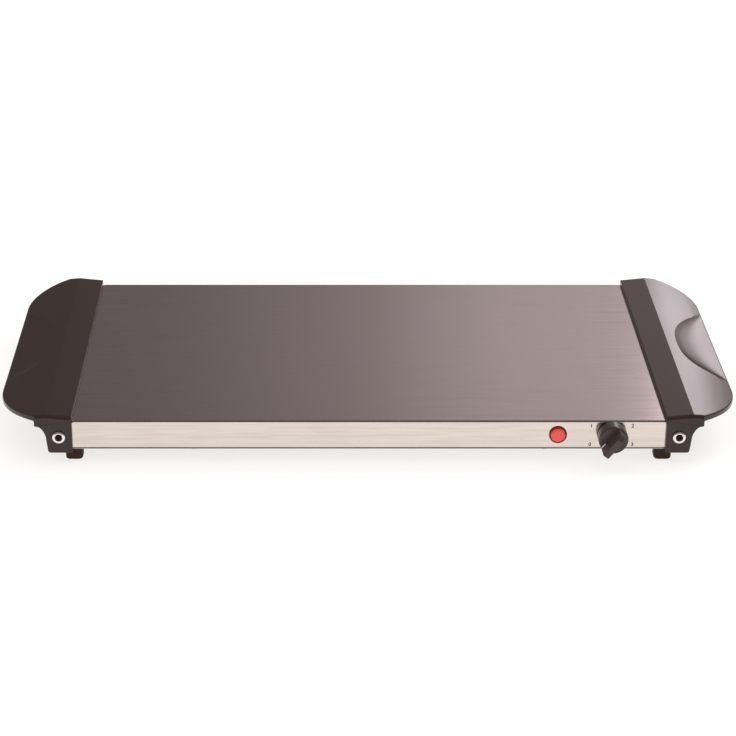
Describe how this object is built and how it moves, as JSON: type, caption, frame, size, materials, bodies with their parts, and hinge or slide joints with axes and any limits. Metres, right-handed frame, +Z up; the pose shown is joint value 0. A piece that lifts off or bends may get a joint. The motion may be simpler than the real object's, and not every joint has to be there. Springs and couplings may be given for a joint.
{
  "type": "buffet server warming tray",
  "caption": "Low electric buffet warming tray: steel hot plate on four feet, moulded end handles with finger scoops, front thermostat knob and red indicator lamp.",
  "frame": {"origin": "on the floor, below the centre of the whole tray's bounding box", "axes": "+X to the right along the length, as seen from the front with the knob; +Y to the back; +Z up"},
  "size_m": [0.6388, 0.3486, 0.0462],
  "materials": {
    "cover_steel": "satin, brushed along the length",
    "plated_steel": "dull zinc plate",
    "handle_plastic": "satin dark brown-grey",
    "knob_plastic": "semi-gloss near black",
    "foot_rubber": "matte",
    "washer_chrome": "polished",
    "dark_screw": "black oxide",
    "contact_brass": "bright",
    "ceramic_body": "satin",
    "heater_alloy": "oxidised strip",
    "mica_sheet": "pressed mica, speckled",
    "insulation_fibre": "soft fibre",
    "bezel_plastic": "dark red-brown",
    "lens_red": "clear red",
    "bulb_glass": "clear",
    "white_sleeve": "woven glass sleeve",
    "green_sleeve": "woven glass sleeve"
  },
  "bodies": {
    "tray": {"top_cover": "cover_steel", "base_plate": "plated_steel", "right_end_bracket": "plated_steel", "left_end_bracket": "plated_steel", "right_handle": "handle_plastic", "left_handle": "handle_plastic", "front_left_handle_washer": "washer_chrome", "front_right_handle_washer": "washer_chrome", "rear_left_handle_washer": "washer_chrome", "rear_right_handle_washer": "washer_chrome", "front_left_handle_screw": "dark_screw", "front_right_handle_screw": "dark_screw", "rear_left_handle_screw": "dark_screw", "rear_right_handle_screw": "dark_screw", "front_left_foot": "foot_rubber", "front_right_foot": "foot_rubber", "rear_left_foot": "foot_rubber", "rear_right_foot": "foot_rubber", "front_left_foot_screw": "dark_screw", "front_right_foot_screw": "dark_screw", "rear_left_foot_screw": "dark_screw", "rear_right_foot_screw": "dark_screw", "front_left_base_screw": "plated_steel", "front_right_base_screw": "plated_steel", "rear_left_base_screw": "plated_steel", "rear_right_base_screw": "plated_steel", "front_left_stud_nut": "plated_steel", "front_right_stud_nut": "plated_steel", "rear_left_stud_nut": "plated_steel", "rear_right_stud_nut": "plated_steel", "thermostat_frame": "plated_steel", "front_stack_spacer": "ceramic_body", "middle_stack_spacer": "ceramic_body", "rear_stack_spacer": "ceramic_body", "stack_rivet": "contact_brass", "left_thermostat_screw": "plated_steel", "right_thermostat_screw": "plated_steel", "indicator_bezel": "bezel_plastic", "indicator_lens": "lens_red", "lamp_clip": "plated_steel", "neon_bulb": "bulb_glass", "upper_mica": "mica_sheet", "heater_ribbon": "heater_alloy", "lower_mica": "mica_sheet", "insulation_mat": "insulation_fibre", "pressure_plate": "plated_steel", "thermal_fuse": "ceramic_body", "fuse_clip": "plated_steel", "cord_bush": "foot_rubber", "terminal_block": "ceramic_body", "live_lead": "white_sleeve", "load_lead": "white_sleeve", "heater_lead": "white_sleeve", "neutral_lead": "white_sleeve", "earth_lead": "green_sleeve"},
    "knob": {"control_knob": "knob_plastic", "thermostat_spindle": "contact_brass"},
    "pin": {"push_pin": "ceramic_body"},
    "leaf": {"adjusting_leaf": "contact_brass"},
    "bimetal": {"bimetal_strip": "heater_alloy"}
  },
  "joints": [
    {"name": "knob_turn", "type": "hinge", "parent": "tray", "child": "knob", "pos_m": [0.2074, -0.14915, 0.0272], "axis": [0, 1, 0], "range_deg": [0, 270]},
    {"name": "pin_push", "type": "slide", "parent": "tray", "child": "pin", "axis": [0, 1, 0], "range_m": [0, 0.00061]},
    {"name": "leaf_bend", "type": "hinge", "parent": "tray", "child": "leaf", "pos_m": [0.2279, -0.13945, 0.0272], "axis": [0, 0, -1], "range_deg": [0, 1.7]},
    {"name": "bimetal_bend", "type": "hinge", "parent": "tray", "child": "bimetal", "pos_m": [0.2279, -0.13595, 0.0272], "axis": [0, 0, -1], "range_deg": [0, 1.5], "stiffness_Nm_per_rad": 0.05}
  ],
  "couplings": [
    {"joint": "pin_push", "follows": "knob_turn", "m_per_rad": 0.00012732},
    {"joint": "leaf_bend", "follows": "knob_turn", "ratio": 0.006211}
  ]
}
